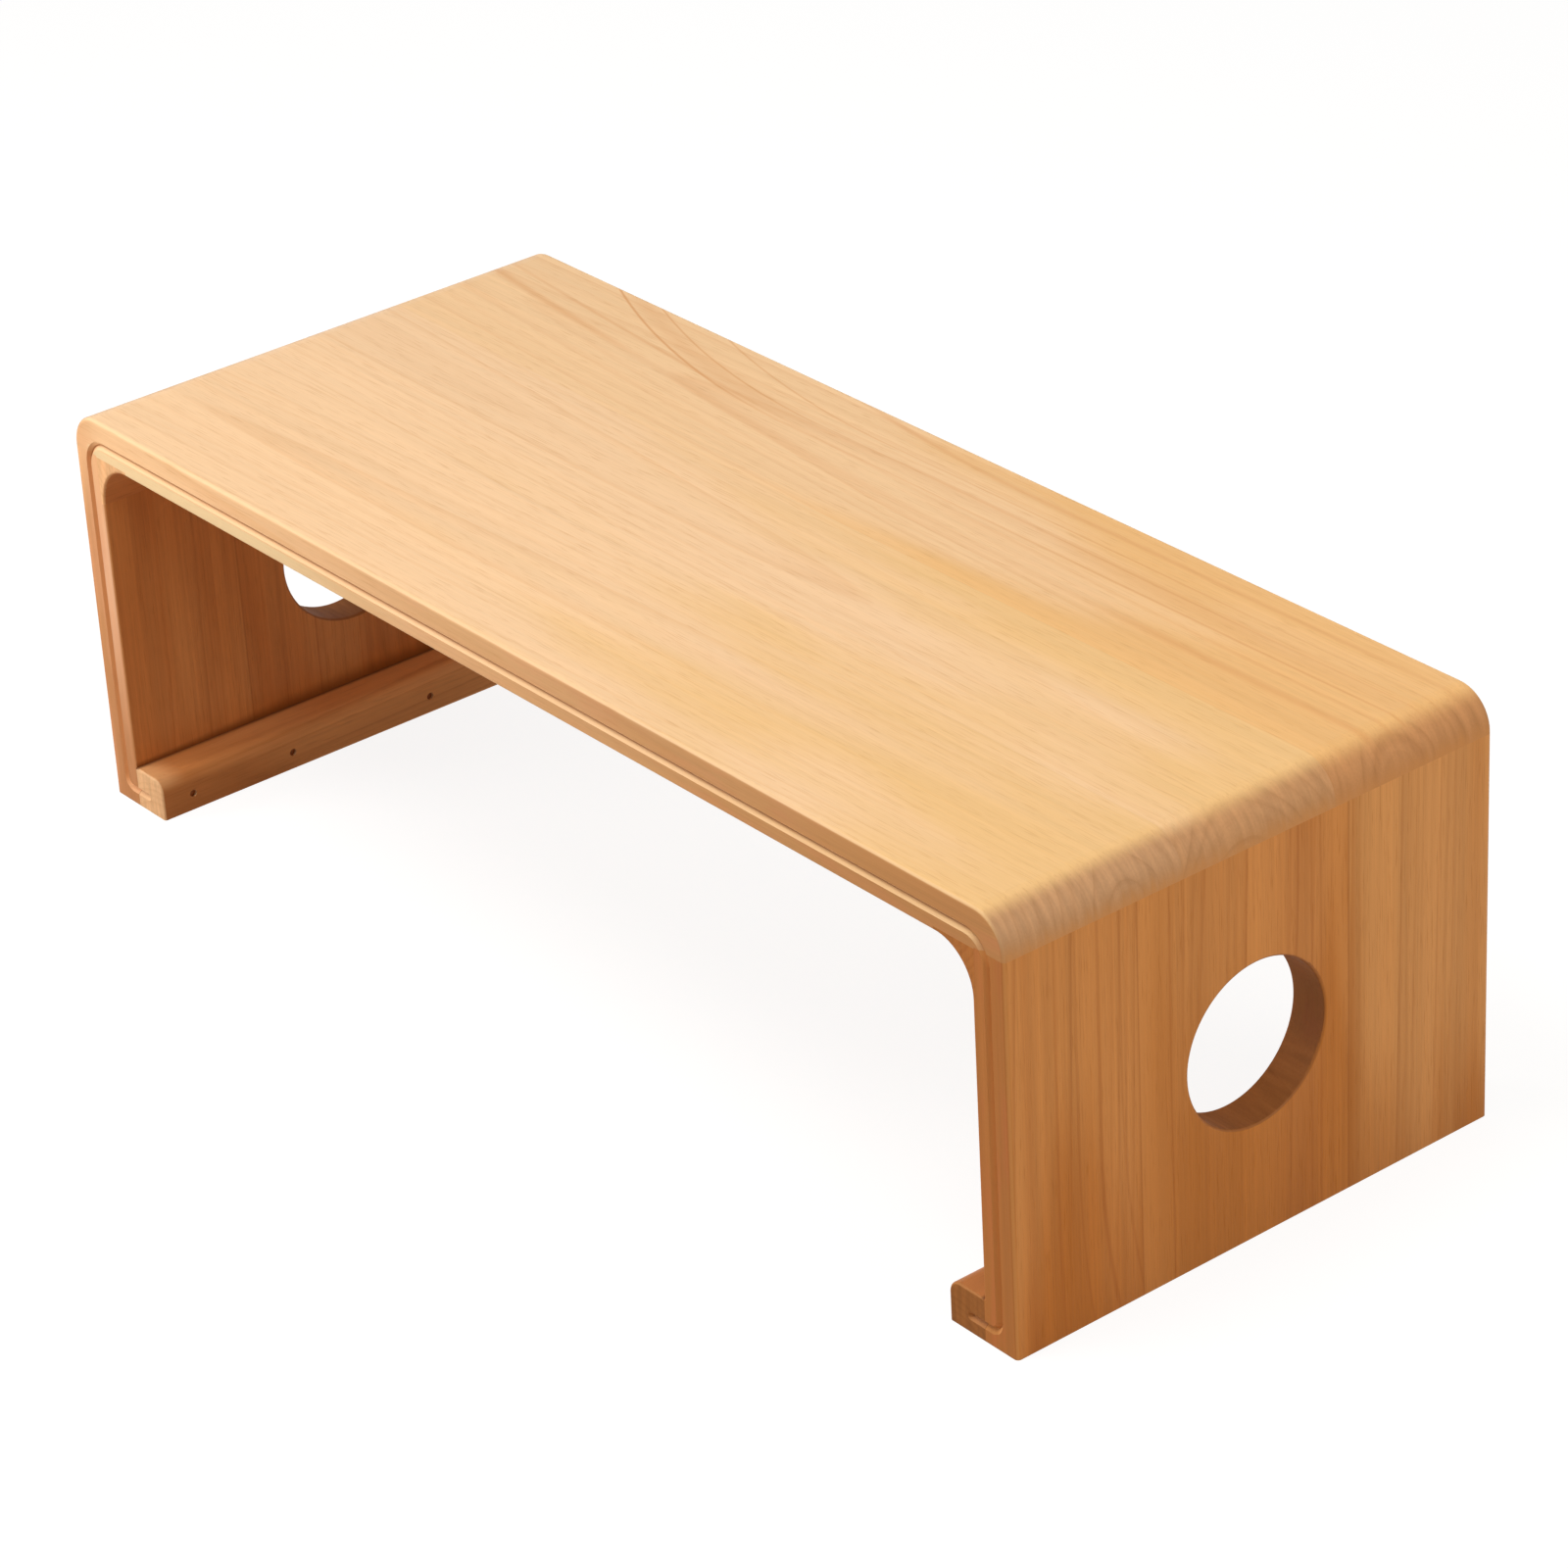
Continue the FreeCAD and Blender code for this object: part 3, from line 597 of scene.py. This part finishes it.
# The hole's walls take deeper narrow, end and edge tones than the rest of the side: painted shade in the hole
HOLE_TONES = dict(
    SIDE_TONES,
    warm=tint(192, 120, 50),
    end=tint(148, 94, 52),
    end_late=tint(134, 84, 46),
    wear_and_highlight=tint(170, 108, 58),
    **narrow_tones(145, 94, 52),
)
LEFT_LONG_TONES = dict(early=tint(219, 147, 85), late=tint(168, 95, 42), warm=tint(194, 116, 56))
LEFT_HOLE_TONES = dict(HOLE_TONES, **LEFT_LONG_TONES)
# The left leg's narrow faces and arrises are painted paler than the right leg's, as lit from the left; at the
# foot deeper and at the head paler, as that light falls off towards the floor: painted light and shade
LEFT_LEG_TONES = dict(
    SIDE_TONES,
    **LEFT_LONG_TONES,
    end=tint(222, 170, 126),
    end_late=tint(208, 154, 108),
    wear_and_highlight=tint(218, 162, 114),
    edge=tint(196, 140, 93),
    edge_inner=tint(224, 174, 138),
    edge_foot=tint(186, 129, 84),
    edge_head=tint(228, 178, 132),
    edge_rosy=tint(220, 158, 118),
)
RAIL_TONES = {
    "early": tint(237, 172, 112),
    "late": tint(190, 121, 66),
    "warm": tint(178, 112, 60),
    "pore_and_shade": tint(92, 46, 20),
    "groove_shade": tint(104, 56, 26),
    "painted_front_light": tint(196, 130, 76),
    "end": tint(164, 106, 55),
    "end_late": tint(144, 89, 43),
    "wear_and_highlight": tint(204, 140, 82),
    **narrow_tones(162, 105, 54),
}
# The left rail's end, narrow faces and front are painted paler than the right rail's: painted light from the
# left
LEFT_RAIL_TONES = dict(
    RAIL_TONES,
    painted_front_light=tint(226, 174, 122),
    end=tint(221, 178, 134),
    end_late=tint(202, 155, 110),
    wear_and_highlight=tint(220, 176, 130),
    **narrow_tones(218, 174, 130),
)
# The left block's end is painted pale, as lit from the left: painted light
LEFT_BLOCK_TONES = dict(
    RAIL_TONES,
    early=tint(220, 146, 88),
    late=tint(190, 118, 66),
    warm=tint(200, 126, 72),
    end=tint(230, 182, 134),
    end_late=tint(214, 160, 110),
    wear_and_highlight=tint(214, 152, 100),
    **narrow_tones(230, 182, 134),
)
# The right block's end and arrises are painted deep: painted shade at the right corner
RIGHT_BLOCK_TONES = dict(
    RAIL_TONES,
    end=tint(186, 120, 62),
    end_late=tint(164, 98, 44),
    wear_and_highlight=tint(140, 80, 38),
    **narrow_tones(186, 120, 62),
)

# How strongly each part of the figure shows. end_turn is how far a face turns to the end of the board
# while the end grain takes over.
# line is the strength of the painted shade in the routed line's bottom.
TOP_FIGURE = {
    "warm": 0.75,
    "rings": 0.30,
    "end_rings": 0.42,
    "rays": 0.15,
    "end_turn": (0.12, 0.62),
    "bands": 0.040,
    "fibres": 0.036,
    "pores": 0.22,
    "joint": 0.06,
    "joint_half": JOINT_HALF,
    "line": 0.75,
    "corner_wear_and_highlight": 0.12,
}
TOP_MIDDLE_FIGURE = dict(TOP_FIGURE, end_rings=0.44, rays=0.13, end_turn=(0.15, 0.68))
TOP_REAR_FIGURE = dict(TOP_FIGURE, end_rings=0.44, rays=0.10, end_turn=(0.18, 0.76))
SIDE_FIGURE = {
    "warm": 0.85,
    "rings": 0.48,
    "end_rings": 0.60,
    "rays": 0.17,
    "end_turn": (0.12, 0.62),
    "bands": 0.120,
    "fibres": 0.068,
    "pores": 0.20,
    "joint": 0.34,
    "joint_half": JOINT_HALF,
    "line": 0.75,
    "corner_wear_and_highlight": WEAR_AND_HIGHLIGHT,
}
RIGHT_LEG_FIGURE = dict(SIDE_FIGURE, line=0.0, corner_wear_and_highlight=0.85)
SIDE_REAR_FIGURE = dict(SIDE_FIGURE, rings=0.36, bands=0.09)
RAIL_FIGURE = {
    "warm": 0.85,
    "rings": 0.40,
    "end_rings": 0.60,
    "rays": 0.17,
    "end_turn": (0.12, 0.62),
    "bands": 0.070,
    "fibres": 0.040,
    "pores": 0.12,
    # joint here is the dark joint along the panel with painted shade in the corner
    "joint": 0.85,
    "joint_half": RAIL_JOINT_AND_SHADE_HALF,
    "line": 0.15,
    "corner_wear_and_highlight": WEAR_AND_HIGHLIGHT,
}
BLOCK_FIGURE = dict(RAIL_FIGURE, joint=0.0, rings=0.25, bands=0.05)

# Share of the edge tones on a board's narrow faces, at the left and right end of the table
# The top's edges deepen towards the right as painted shade, for light that falls from the left
TOP_EDGE_SHADE = (0.15, 1.0)
PLAIN_EDGES = (0.88, 0.88)
TOP = dict(grain="x", wear_and_highlight_axis=1, tones=TOP_TONES, figure=TOP_FIGURE, edges=TOP_EDGE_SHADE)
SIDE = dict(grain="z", wear_and_highlight_axis=0, figure=SIDE_FIGURE, edges=PLAIN_EDGES)
RAIL = dict(
    grain="y",
    wear_and_highlight_axis=1,
    figure=RAIL_FIGURE,
    edges=PLAIN_EDGES,
    lean=(0.0, 0.02),
    ring=0.0040,
    drift=(-2.0, 0.0, 0.0),
)
BLOCK = dict(RAIL, figure=BLOCK_FIGURE)
DOWELS = dict(BLOCK, tones=RAIL_TONES, lean=(0.0, 0.0), ring=0.0020)

# Each board's pith line and how it leans, the width of a year, and its drift to the warm tone: along the
# grain, across it, and where it starts. A vein is its tone, its place across the board, where along the
# board it turns, how it swings aside before that, its half width and its strength.
BOARDS = {
    "top_front_board": dict(
        TOP, pith=(-0.120, 0.279), lean=(0.03, 0.01), ring=0.0060, seed=1.3, drift=(0.90, 0.0, -0.09)
    ),
    "top_middle_board": dict(
        TOP,
        tones=TOP_MIDDLE_TONES,
        figure=TOP_MIDDLE_FIGURE,
        pith=(0.010, 0.272),
        lean=(-0.04, -0.02),
        ring=0.0068,
        seed=7.7,
        drift=(0.60, 0.0, -0.05),
    ),
    "top_rear_board": dict(
        TOP,
        tones=TOP_REAR_TONES,
        figure=TOP_REAR_FIGURE,
        pith=(0.132, 0.270),
        lean=(-0.02, 0.03),
        ring=0.0075,
        seed=13.1,
        drift=(0.80, 0.0, -0.07),
        veins=(
            ("late", 0.1080, 0.30, 0.08, 0.0060, 0.45),
            ("late", 0.1260, 0.40, 0.06, 0.0030, 0.40),
            ("late", 0.1385, -0.114, 0.85, 0.0018, 0.80),
            ("late", 0.1500, -0.114, 0.85, 0.0140, 0.25),
            ("late", 0.1545, -0.10, 0.85, 0.0014, 0.60),
            ("late", 0.1680, -0.04, 0.70, 0.0014, 0.50),
            ("late", 0.1850, 0.10, 0.40, 0.0040, 0.40),
        ),
    ),
    "right_side_front_board": dict(
        SIDE,
        tones=RIGHT_LEG_TONES,
        figure=RIGHT_LEG_FIGURE,
        pith=(-0.300, 0.420),
        lean=(0.02, 0.02),
        ring=0.0066,
        seed=21.9,
        drift=(-1.3, 0.0, 0.18),
        veins=(
            # A pale strip on the side along the front arris: painted highlight
            ("wear_and_highlight", -0.2000, 0.0, 0.0, 0.0070, 0.40),
            ("late", -0.1880, 0.0, 0.0, 0.0070, 0.42),
            ("late", -0.1650, 0.10, 0.30, 0.0024, 0.38),
            ("late", -0.1480, 0.14, 0.50, 0.0016, 0.35),
            ("late", -0.1300, 0.12, 0.90, 0.0028, 0.60),
            ("late", -0.1120, 0.16, 0.60, 0.0018, 0.45),
        ),
    ),
    "right_side_middle_board": dict(
        SIDE,
        tones=HOLE_TONES,
        pith=(-0.260, 0.420),
        lean=(0.02, 0.02),
        ring=0.0070,
        seed=29.2,
        drift=(-1.5, 0.4, 0.26),
        veins=(
            ("early", -0.0980, 0.0, 0.0, 0.0450, 0.45),
            ("late", -0.0720, 0.0, 0.0, 0.0016, 0.35),
            ("late", -0.0430, 0.0, 0.0, 0.0030, 0.15),
            ("late", 0.0360, 0.0, 0.0, 0.0320, 0.38),
            ("late", 0.0460, 0.0, 0.0, 0.0014, 0.35),
            ("late", 0.0540, 0.0, 0.0, 0.0014, 0.35),
            ("late", 0.0640, 0.0, 0.0, 0.0016, 0.25),
            ("early", 0.0700, 0.26, 0.70, 0.0150, 0.70),
        ),
    ),
    "right_side_rear_board": dict(
        SIDE,
        tones=SIDE_REAR_TONES,
        figure=SIDE_REAR_FIGURE,
        pith=(0.340, 0.420),
        lean=(0.01, -0.02),
        ring=0.0064,
        seed=34.6,
        drift=(-1.4, 1.2, -0.04),
        veins=(
            ("warm", 0.0780, 0.0, 0.0, 0.0150, 0.30),
            ("early", 0.1690, 0.0, 0.0, 0.0080, 0.35),
            ("warm", 0.1890, 0.0, 0.0, 0.0140, 0.75),
        ),
    ),
    "left_side_front_board": dict(
        SIDE,
        tones=LEFT_LEG_TONES,
        pith=(-0.300, -0.400),
        lean=(0.02, 0.02),
        ring=0.0060,
        seed=41.4,
        drift=(0.3, 0.0, -0.06),
    ),
    "left_side_middle_board": dict(
        SIDE,
        tones=LEFT_HOLE_TONES,
        pith=(0.220, -0.400),
        lean=(0.0, 0.03),
        ring=0.0062,
        seed=47.8,
        drift=(-1.0, 0.0, 0.20),
    ),
    "left_side_rear_board": dict(
        SIDE,
        tones=LEFT_LEG_TONES,
        pith=(0.320, -0.400),
        lean=(0.0, 0.02),
        ring=0.0060,
        seed=55.3,
        drift=(-1.0, 0.0, 0.10),
    ),
    "left_foot_rail": dict(RAIL, tones=LEFT_RAIL_TONES, pith=(-0.440, -0.030), seed=61.7),
    "right_foot_rail": dict(RAIL, tones=RAIL_TONES, pith=(0.440, -0.030), seed=67.1),
    "left_corner_block": dict(BLOCK, tones=LEFT_BLOCK_TONES, pith=(-0.440, 0.300), seed=73.9),
    "right_corner_block": dict(BLOCK, tones=RIGHT_BLOCK_TONES, pith=(0.440, 0.300), seed=79.3),
    "left_corner_dowels": dict(DOWELS, pith=(-0.480, 0.200), seed=83.5),
    "right_corner_dowels": dict(DOWELS, pith=(0.480, 0.200), seed=89.1),
}
SCREWS = ("left_rail_screws", "right_rail_screws")


def dress(node, material):
    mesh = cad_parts[node].data
    mesh.materials.clear()
    mesh.materials.append(material)


for board_name, board in BOARDS.items():
    dress(board_name, wood(board_name + "_wood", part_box(board_name), **board))
screw_steel = steel("screw_steel")
for screw_name in SCREWS:
    dress(screw_name, screw_steel)

# Floor: half its side, its distance below the soles, and the length of a ray that starts on a sole
FLOOR_HALF = 8.0
FLOOR_GAP = 0.0002
CONTACT = 0.002
FLOOR_TONE = tint(196, 178, 158)
FLOOR_SHOWN = tint(122, 122, 122)
FLOOR_GLOW = 0.87
WHITE = (1.0, 1.0, 1.0, 1.0)


def floor_material():
    """White where the camera looks at it, with the table's soft shadow, and a pale warm floor to other rays.

    It is clear from below, and clear to rays that start on a sole, so that the underside can be seen.
    """
    nodes = Nodes("floor_paper")
    path = nodes.add("LightPath")
    seen = nodes.math("MAXIMUM", path.outputs["Is Camera Ray"], path.outputs["Is Glossy Ray"])
    seen = nodes.math("MAXIMUM", seen, path.outputs["Is Transmission Ray"])
    pale = nodes.add("BsdfDiffuse")
    pale.inputs["Color"].default_value = FLOOR_TONE
    shown = nodes.add("BsdfDiffuse")
    shown.inputs["Color"].default_value = FLOOR_SHOWN
    glow = nodes.add("Emission")
    glow.inputs["Color"].default_value = WHITE
    glow.inputs["Strength"].default_value = FLOOR_GLOW
    lit = nodes.add("AddShader")
    nodes.feed(lit.inputs[0], shown.outputs[0])
    nodes.feed(lit.inputs[1], glow.outputs[0])
    paper = nodes.mixed_shader(seen, pale.outputs[0], lit.outputs[0])
    touching = nodes.math("LESS_THAN", path.outputs["Ray Length"], CONTACT)
    touching = nodes.times(touching, path.outputs["Is Diffuse Ray"])
    below = nodes.add("NewGeometry").outputs["Backfacing"]
    clear = nodes.add("BsdfTransparent").outputs[0]
    return nodes.finish(nodes.mixed_shader(nodes.math("MAXIMUM", below, touching), paper, clear))


def make_floor():
    sides = ((-1, -1), (1, -1), (1, 1), (-1, 1))
    mesh = bpy.data.meshes.new("floor")
    mesh.from_pydata([(x * FLOOR_HALF, y * FLOOR_HALF, -FLOOR_GAP) for x, y in sides], [], [(0, 1, 2, 3)])
    mesh.materials.append(floor_material())
    floor = bpy.data.objects.new("floor", mesh)
    bpy.context.scene.collection.objects.link(floor)


# Light: place, aim, size of the lamp in metres, power in watts, colour
LAMPS = {
    "overhead_light": ((-0.2, -1.2, 3.0), (0.0, 0.0, 0.3), 1.4, 47.0, (1.0, 0.97, 0.93)),
    "front_left_light": ((-1.25, -1.30, 0.60), (-0.45, -0.20, 0.22), 0.7, 13.0, (1.0, 0.96, 0.91)),
    "right_fill": ((2.6, 0.4, 1.9), (0.45, 0.0, 0.15), 1.4, 30.0, (1.0, 0.92, 0.80)),
}
WORLD_COLOUR = (1.0, 0.97, 0.93, 1.0)
WORLD_STRENGTH = 0.36


def make_lamps():
    for name, (place, aim, size, power, colour) in LAMPS.items():
        lamp = bpy.data.lights.new(name, "AREA")
        lamp.shape = "DISK"
        lamp.size = size
        lamp.energy = power
        lamp.color = colour
        holder = bpy.data.objects.new(name, lamp)
        holder.location = place
        aim_line = Vector(aim) - Vector(place)
        holder.rotation_euler = aim_line.to_track_quat("-Z", "Y").to_euler()
        bpy.context.scene.collection.objects.link(holder)


def make_world():
    """Even pale light, and plain white where the camera or a gloss sees past the floor."""
    world = bpy.data.worlds.new("studio")
    bpy.context.scene.world = world
    world.use_nodes = True
    tree = world.node_tree
    tree.nodes.clear()
    output = tree.nodes.new("ShaderNodeOutputWorld")
    path = tree.nodes.new("ShaderNodeLightPath")
    seen = path.outputs["Is Camera Ray"]
    for ray in ("Is Glossy Ray", "Is Transmission Ray"):
        either = tree.nodes.new("ShaderNodeMath")
        either.operation = "MAXIMUM"
        tree.links.new(seen, either.inputs[0])
        tree.links.new(path.outputs[ray], either.inputs[1])
        seen = either.outputs[0]
    white = tree.nodes.new("ShaderNodeBackground")
    white.inputs["Color"].default_value = WHITE
    soft = tree.nodes.new("ShaderNodeBackground")
    soft.inputs["Color"].default_value = WORLD_COLOUR
    soft.inputs["Strength"].default_value = WORLD_STRENGTH
    both = tree.nodes.new("ShaderNodeMixShader")
    tree.links.new(seen, both.inputs[0])
    tree.links.new(soft.outputs[0], both.inputs[1])
    tree.links.new(white.outputs[0], both.inputs[2])
    tree.links.new(both.outputs[0], output.inputs["Surface"])


def make_camera():
    azimuth = math.radians(CAMERA_AZIMUTH)
    elevation = math.radians(CAMERA_ELEVATION)
    roll = math.radians(CAMERA_ROLL)
    back = Vector(
        (
            math.sin(azimuth) * math.cos(elevation),
            -math.cos(azimuth) * math.cos(elevation),
            math.sin(elevation),
        )
    )
    level_right = Vector((math.cos(azimuth), math.sin(azimuth), 0.0))
    level_up = back.cross(level_right)
    right = level_right * math.cos(roll) + level_up * math.sin(roll)
    up = back.cross(right)
    camera = bpy.data.cameras.new("camera")
    camera.sensor_width = CAMERA_SENSOR
    camera.lens = CAMERA_LENS
    holder = bpy.data.objects.new("camera", camera)
    turn = Matrix((right, up, back)).transposed().to_4x4()
    holder.matrix_world = Matrix.Translation(CAMERA_PLACE) @ turn
    bpy.context.scene.collection.objects.link(holder)
    bpy.context.scene.camera = holder


make_floor()
make_lamps()
make_world()
make_camera()
bpy.context.scene.view_settings.view_transform = "Standard"
